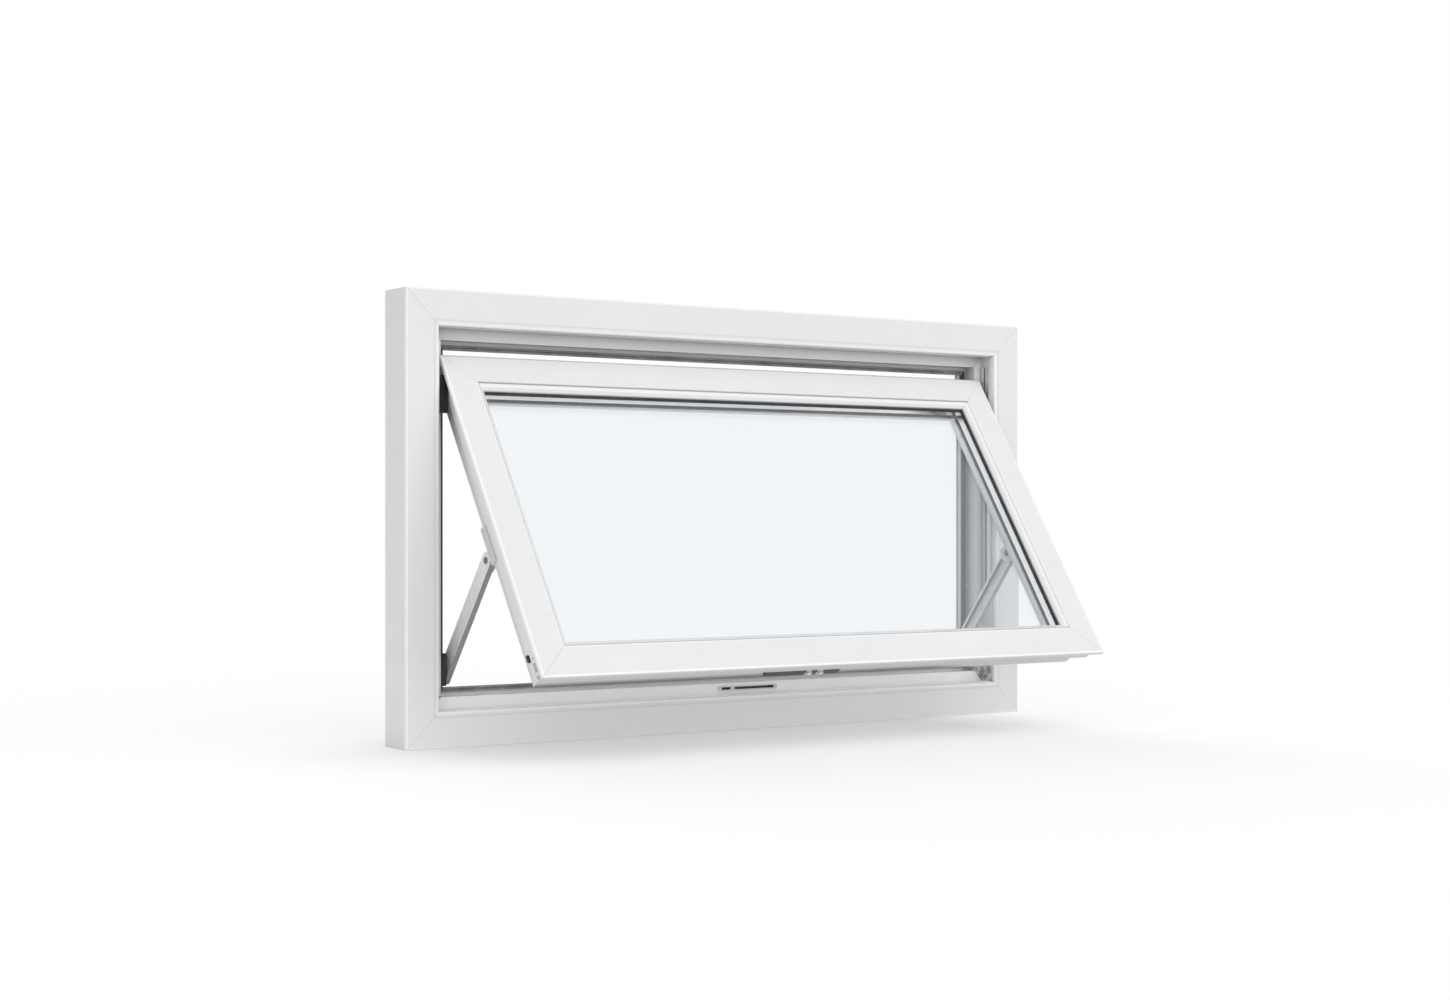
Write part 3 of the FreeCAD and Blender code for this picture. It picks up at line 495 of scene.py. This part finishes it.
# Painted light and shade on the sash's vinyl
def sash_painted_light(tree, vector, ring, open_share, level, tone):
    place = axes(tree, vector)
    lip = ranged(tree, ring["Depth"], LIP_END, FALL)
    where = ranged(tree, ring["Inset"], SASH_FACE_END, FALL)
    # Painted shade on the sash in sheltered places, more on the rails than on the stiles
    tone = paint_shelter_shade(tree, open_share, SHADE_PAINT_SHARE, where, tone, strength=0.40 if level else 0.12)
    # Painted highlights on the sash's edges
    tone = paint_edge_highlights(tree, SASH_EDGES, ring, lip, tone)
    groove = combine(tree, band(tree, ring["Inset"], SASH_GROOVE, soft=0.0010), lip)
    # Painted highlight in the bead groove
    tone = tint(tree, groove, tone, HIGHLIGHT_WHITE, strength=0.8)
    # Painted shade along the rear of the sash's outer sides, and a dark painted shade line under the rear of
    # the rails that fades out towards the right
    rear_shade = combine(tree, ranged(tree, ring["Inset"], SASH_SIDE_END, FALL),
                     ranged(tree, ring["Depth"], REAR_SHADE_START))
    if not level:
        return tint(tree, rear_shade, tone, PAINTED_SHADE_GREY, strength=0.25)
    tone = rail_shade(tree, place, ring, groove, lip, tone)
    rear_shade = combine(tree, rear_shade, ranged(tree, place["X"], REAR_SHADE_END, FALL))
    return tint(tree, rear_shade, tone, PAINTED_SHADE_BLACK, strength=0.82)


# White vinyl: draw lines along the bar, painted highlights on edges, painted shade in sheltered places, a
# seam at the mitres
def white_vinyl(name, colour, level, on_sash):
    material, tree, output = new_material(name)
    vector = ring_vector(tree, on_sash)
    stretch = LEVEL_STRETCH if level else UPRIGHT_STRETCH
    lines = place_group(tree, DRAW_LINES, Vector=vector, Stretch=stretch, Cloud_Scale=7.0)
    width, height, front = FRAME_WIDTH, FRAME_HEIGHT, FRAME_FRONT
    if on_sash:
        width, height, front = SASH_WIDTH, SASH_HEIGHT, 0.0
    ring = place_group(tree, MITRE_SEAM, Vector=vector, Half_Width=width / 2, Height=height, Front=front,
                       Seam_Width=SEAM_WIDTH)
    dulled = [share * VINYL_DULL for share in colour]
    tone = tone_mix(tree, ranged(tree, lines["Clouds"], NOISE_SPAN), dulled, colour)
    # The open share around each place, which sets the painted shade
    shelter = put(add(tree, "ShaderNodeAmbientOcclusion", samples=SHADE_PAINT_SAMPLES), Distance=SHADE_PAINT_REACH)
    painted_light = sash_painted_light if on_sash else frame_painted_light
    tone = painted_light(tree, vector, ring, shelter.outputs["AO"], level, tone)
    tone = tint(tree, ring["Seam"], tone, SEAM_GREY, strength=0.7)
    shader = put(add(tree, "ShaderNodeBsdfPrincipled"), IOR=1.53, Coat_Weight=0.12, Coat_Roughness=0.18)
    tree.links.new(tone, shader.inputs["Base Color"])
    tree.links.new(ranged(tree, lines["Lines"], NOISE_SPAN, VINYL_ROUGHNESS), shader.inputs["Roughness"])
    relief = maths(tree, "SUBTRACT", maths(tree, "MULTIPLY", lines["Lines"], LINE_RELIEF), ring["Seam"])
    bump = put(add(tree, "ShaderNodeBump"), Strength=0.25, Distance=0.00025)
    tree.links.new(relief, bump.inputs["Height"])
    tree.links.new(bump.outputs["Normal"], shader.inputs["Normal"])
    tree.links.new(shader.outputs[0], output.inputs["Surface"])
    return material


# Rubber or nylon, with pale bands across the bar where it is given them
def soft_black(name, colour, roughness, pale_bands=()):
    material, tree, output = new_material(name)
    vector = ring_vector(tree, False)
    lines = place_group(tree, DRAW_LINES, Vector=vector, Stretch=(60.0, 60.0, 60.0), Cloud_Scale=40.0)
    bloomed = [share * RUBBER_BLOOM + RUBBER_BLOOM_LEAST for share in colour]
    tone = tone_mix(tree, ranged(tree, lines["Clouds"], RUBBER_SPAN), colour, bloomed)
    for limits in pale_bands:
        stripe = band(tree, axes(tree, vector)["X"], limits, soft=0.0006)
        tone = tint(tree, stripe, tone, SCREW_WHITE)
    shader = add(tree, "ShaderNodeBsdfPrincipled")
    tree.links.new(tone, shader.inputs["Base Color"])
    limits = [roughness + swing for swing in RUBBER_ROUGHNESS_SWING]
    tree.links.new(ranged(tree, lines["Specks"], NOISE_SPAN, limits), shader.inputs["Roughness"])
    bump = put(add(tree, "ShaderNodeBump"), Strength=0.3, Distance=0.0002)
    tree.links.new(lines["Specks"], bump.inputs["Height"])
    tree.links.new(bump.outputs["Normal"], shader.inputs["Normal"])
    tree.links.new(shader.outputs[0], output.inputs["Surface"])
    return material


# Metal with a grain along one axis and dulled patches, painted shade on the narrow edges and pale screw
# heads where given
def grained_metal(name, colour, roughness, stretch, metallic, on_sash=False, edge_shade=None, screws=()):
    material, tree, output = new_material(name)
    vector = ring_vector(tree, on_sash)
    lines = place_group(tree, DRAW_LINES, Vector=vector, Stretch=stretch, Cloud_Scale=30.0)
    dulled = [share * METAL_DULL for share in colour]
    tone = tone_mix(tree, ranged(tree, lines["Lines"], METAL_SPAN), dulled, colour)
    if edge_shade is not None:
        # Painted shade on the arm's narrow edges, which do not look sideways
        sideways = maths(tree, "ABSOLUTE", face_normal(tree)["X"])
        tone = tint(tree, ranged(tree, sideways, EDGE_SHADE_FACING, FALL), tone, edge_shade, strength=0.9)
    for screw in screws:
        flat = add(tree, "ShaderNodeVectorMath", operation="MULTIPLY")
        flat.inputs[1].default_value = (0.0, 1.0, 1.0)
        tree.links.new(vector, flat.inputs[0])
        away = add(tree, "ShaderNodeVectorMath", operation="DISTANCE")
        tree.links.new(flat.outputs[0], away.inputs[0])
        away.inputs[1].default_value = screw
        tone = tint(tree, ranged(tree, away.outputs["Value"], SCREW_EDGE, FALL), tone, SCREW_WHITE)
    shader = put(add(tree, "ShaderNodeBsdfPrincipled"), Metallic=metallic)
    tree.links.new(tone, shader.inputs["Base Color"])
    limits = [roughness + swing for swing in METAL_ROUGHNESS_SWING]
    tree.links.new(ranged(tree, lines["Clouds"], NOISE_SPAN, limits), shader.inputs["Roughness"])
    bump = put(add(tree, "ShaderNodeBump"), Strength=0.2, Distance=0.0002)
    tree.links.new(lines["Lines"], bump.inputs["Height"])
    tree.links.new(bump.outputs["Normal"], shader.inputs["Normal"])
    tree.links.new(shader.outputs[0], output.inputs["Surface"])
    return material


# Clear glass that lets shadow rays through
def window_glass(name):
    material, tree, output = new_material(name)
    vector = ring_vector(tree, True)
    lines = place_group(tree, DRAW_LINES, Vector=vector, Stretch=(2.0, 2.0, 2.0), Cloud_Scale=3.0)
    tone = tone_mix(tree, ranged(tree, lines["Clouds"], NOISE_SPAN), *GLASS_TONES)
    shader = put(add(tree, "ShaderNodeBsdfPrincipled"), Roughness=0.0, IOR=1.5, Transmission_Weight=1.0)
    tree.links.new(tone, shader.inputs["Base Color"])
    clear = put(add(tree, "ShaderNodeBsdfTransparent"), Color=GLASS_SHADOW)
    light_path = add(tree, "ShaderNodeLightPath")
    mix = add(tree, "ShaderNodeMixShader")
    tree.links.new(light_path.outputs["Is Shadow Ray"], mix.inputs[0])
    tree.links.new(shader.outputs[0], mix.inputs[1])
    tree.links.new(clear.outputs[0], mix.inputs[2])
    tree.links.new(mix.outputs[0], output.inputs["Surface"])
    return material


FINISHES = {
    "frame_level": white_vinyl("frame_vinyl_level", FRAME_WHITE, level=True, on_sash=False),
    "frame_upright": white_vinyl("frame_vinyl_upright", FRAME_WHITE, level=False, on_sash=False),
    "sash_level": white_vinyl("sash_vinyl_level", SASH_WHITE, level=True, on_sash=True),
    "sash_upright": white_vinyl("sash_vinyl_upright", SASH_WHITE, level=False, on_sash=True),
    # The glazing beads are the sash's vinyl painted paler: painted light on them behind the glass
    "bead_level": white_vinyl("bead_vinyl_level", LIT_BEAD_WHITE, level=True, on_sash=True),
    "bead_upright": white_vinyl("bead_vinyl_upright", LIT_BEAD_WHITE, level=False, on_sash=True),
    "gasket": soft_black("gasket_rubber", (0.028, 0.028, 0.029), roughness=0.55),
    # The head and sill gaskets are the jambs' black rubber painted grey: painted light from the front
    "lit_gasket": soft_black("lit_gasket_rubber", (0.20, 0.20, 0.201), roughness=0.60),
    "glazing": soft_black("glazing_rubber", (0.050, 0.050, 0.051), roughness=0.50),
    "nylon": soft_black("black_nylon", (0.010, 0.010, 0.011), roughness=0.50),
    "lock": soft_black("lock_plastic", (0.050, 0.050, 0.050), roughness=0.50, pale_bands=LOCK_BANDS),
    "glass": window_glass("window_glass"),
    "spacer": grained_metal("spacer_aluminium", (0.97, 0.97, 0.97), roughness=0.13,
                            stretch=(4.0, 300.0, 300.0), metallic=1.0, on_sash=True),
    "track": grained_metal("track_aluminium", (0.74, 0.75, 0.76), roughness=0.36,
                           stretch=(500.0, 500.0, 4.0), metallic=0.9),
    "steel": grained_metal("stay_steel", (0.76, 0.76, 0.76), roughness=0.42,
                           stretch=(400.0, 400.0, 12.0), metallic=0.25),
    "arm": grained_metal("arm_steel", (0.92, 0.92, 0.92), roughness=0.42,
                         stretch=(400.0, 400.0, 12.0), metallic=0.1, edge_shade=ARM_EDGE_SHADE),
    "rivet": grained_metal("rivet_steel", (0.22, 0.22, 0.22), roughness=0.40,
                           stretch=(120.0, 120.0, 120.0), metallic=0.5),
    "keeper": grained_metal("keeper_metal", (0.62, 0.62, 0.62), roughness=0.34,
                            stretch=(6.0, 400.0, 400.0), metallic=0.4),
    "stile_keeper": grained_metal("stile_keeper_metal", (0.52, 0.52, 0.52), roughness=0.40,
                                  stretch=(60.0, 60.0, 60.0), metallic=0.3, on_sash=True,
                                  screws=STILE_SCREWS),
    "stud": grained_metal("stud_metal", (0.85, 0.85, 0.85), roughness=0.34,
                          stretch=(60.0, 60.0, 60.0), metallic=0.3),
}

NODE_FINISHES = {
    "frame_head": "frame_level", "frame_sill": "frame_level",
    "frame_left_jamb": "frame_upright", "frame_right_jamb": "frame_upright",
    "sash_top_rail": "sash_level", "sash_bottom_rail": "sash_level",
    "sash_left_stile": "sash_upright", "sash_right_stile": "sash_upright",
    "glazing_bead_top": "bead_level", "glazing_bead_bottom": "bead_level",
    "glazing_bead_left": "bead_upright", "glazing_bead_right": "bead_upright",
    "glass_outer_pane": "glass", "glass_inner_pane": "glass", "glass_spacer_bar": "spacer",
    "sill_lock_keeper": "keeper", "sash_lock_bar": "lock",
    "frame_gasket_head": "lit_gasket", "frame_gasket_sill": "lit_gasket",
}

# Finishes of the other pieces, by the first of these words in the piece's name
WORD_FINISHES = (
    ("glazing_gasket", "glazing"), ("gasket", "gasket"), ("shoe", "nylon"), ("foot_block", "nylon"),
    ("bolt", "nylon"), ("stud", "stud"), ("track", "track"), ("rivet", "rivet"), ("arm", "arm"),
    ("bracket", "steel"), ("stile_keeper", "stile_keeper"),
)


def finish_of(name):
    if name in NODE_FINISHES:
        return NODE_FINISHES[name]
    return next(finish for word, finish in WORD_FINISHES if word in name)


for name, node in nodes.items():
    node.data.materials.clear()
    node.data.materials.append(FINISHES[finish_of(name)])


# Painted soft shade on the floor under the window and in front of it
def floor_shade(tree):
    shelter = put(add(tree, "ShaderNodeAmbientOcclusion", samples=SHADE_SAMPLES), Distance=SHADE_REACH)
    place = axes(tree, add(tree, "ShaderNodeTexCoord").outputs["Object"])
    near = combine(tree, ranged(tree, place["X"], SHADE_LEFT), ranged(tree, place["X"], SHADE_RIGHT, FALL),
                   ranged(tree, place["Y"], SHADE_FRONT, (SHADE_FRONT_SHARE, 1.0)),
                   ranged(tree, place["Y"], SHADE_BACK, FALL))
    closed = maths(tree, "SUBTRACT", 1.0, shelter.outputs["AO"], clamp=True)
    return combine(tree, maths(tree, "POWER", closed, SHADE_SPREAD), near, SHADE_DEPTH)


# A wide pale floor that keeps the soft shadow, with painted shade added, and shows white where it is seen
# open
def studio_floor():
    material, tree, output = new_material("studio_floor")
    material.cycles.emission_sampling = "NONE"
    light_path = add(tree, "ShaderNodeLightPath")
    seen = maths(tree, "MAXIMUM", light_path.outputs["Is Camera Ray"], light_path.outputs["Is Glossy Ray"])
    seen = maths(tree, "MAXIMUM", seen, light_path.outputs["Is Transmission Ray"])
    open_share = opposite(tree, floor_shade(tree))
    tone = add(tree, "ShaderNodeMix", data_type="FLOAT")
    tone.inputs[2].default_value = FLOOR_TONE
    tree.links.new(seen, tone.inputs[0])
    tree.links.new(maths(tree, "MULTIPLY", open_share, FLOOR_SEEN), tone.inputs[3])
    lit = add(tree, "ShaderNodeBsdfDiffuse")
    tree.links.new(tone.outputs[0], lit.inputs["Color"])
    white = add(tree, "ShaderNodeEmission")
    tree.links.new(open_share, white.inputs["Strength"])
    mix = add(tree, "ShaderNodeMixShader")
    tree.links.new(maths(tree, "MULTIPLY", seen, FLOOR_WHITE), mix.inputs[0])
    tree.links.new(lit.outputs[0], mix.inputs[1])
    tree.links.new(white.outputs[0], mix.inputs[2])
    tree.links.new(mix.outputs[0], output.inputs["Surface"])
    mesh = bpy.data.meshes.new("studio_floor")
    shape = bmesh.new()
    bmesh.ops.create_grid(shape, x_segments=1, y_segments=1, size=FLOOR_SIZE)
    shape.to_mesh(mesh)
    shape.free()
    floor = bpy.data.objects.new("studio_floor", mesh)
    bpy.context.scene.collection.objects.link(floor)
    mesh.materials.append(material)


# A soft glow, stronger from the front and the left, and plain white where it is seen
def studio_world():
    world = bpy.data.worlds.new("studio_world")
    bpy.context.scene.world = world
    world.use_nodes = True
    tree = world.node_tree
    tree.nodes.clear()
    output = tree.nodes.new("ShaderNodeOutputWorld")
    coords = add(tree, "ShaderNodeTexCoord")
    level = GLOW_LEVEL
    for direction, strength in GLOW_LOBES:
        lobe = add(tree, "ShaderNodeVectorMath", operation="DOT_PRODUCT")
        tree.links.new(coords.outputs["Generated"], lobe.inputs[0])
        lobe.inputs[1].default_value = direction
        towards = maths(tree, "MAXIMUM", lobe.outputs["Value"], 0.0)
        level = maths(tree, "ADD", maths(tree, "MULTIPLY", towards, strength), level)
    glow = put(add(tree, "ShaderNodeBackground"), Color=(1.0, 1.0, 1.0, 1.0))
    tree.links.new(level, glow.inputs["Strength"])
    white = put(add(tree, "ShaderNodeBackground"), Color=(1.0, 1.0, 1.0, 1.0), Strength=1.0)
    light_path = add(tree, "ShaderNodeLightPath").outputs
    seen = maths(tree, "MAXIMUM", light_path["Is Camera Ray"], light_path["Is Transmission Ray"])
    mix = add(tree, "ShaderNodeMixShader")
    tree.links.new(seen, mix.inputs[0])
    tree.links.new(glow.outputs[0], mix.inputs[1])
    tree.links.new(white.outputs[0], mix.inputs[2])
    tree.links.new(mix.outputs[0], output.inputs["Surface"])


def soft_lamp():
    lamp = bpy.data.lights.new("key_lamp", "SUN")
    lamp.angle = LAMP_SPREAD
    lamp.energy = LAMP_LEVEL
    holder = bpy.data.objects.new("key_lamp", lamp)
    towards = Vector(LAMP_TOWARDS)
    holder.rotation_euler = towards.to_track_quat("-Z", "Y").to_euler()
    holder.location = -LAMP_AWAY * towards
    bpy.context.scene.collection.objects.link(holder)


def photo_camera():
    lens = bpy.data.cameras.new("photo_camera")
    lens.sensor_width = SENSOR_WIDTH
    lens.lens = FOCAL_PIXELS / PHOTO_WIDTH * lens.sensor_width
    lens.shift_y = (HORIZON_PIXEL - PHOTO_HEIGHT / 2) / PHOTO_WIDTH
    lens.clip_end = VIEW_END
    camera = bpy.data.objects.new("photo_camera", lens)
    camera.location = CAMERA_PLACE
    camera.rotation_euler = (math.pi / 2, 0.0, -VIEW_TURN)
    bpy.context.scene.collection.objects.link(camera)
    bpy.context.scene.camera = camera


studio_floor()
studio_world()
soft_lamp()
photo_camera()
bpy.context.scene.view_settings.view_transform = "Standard"
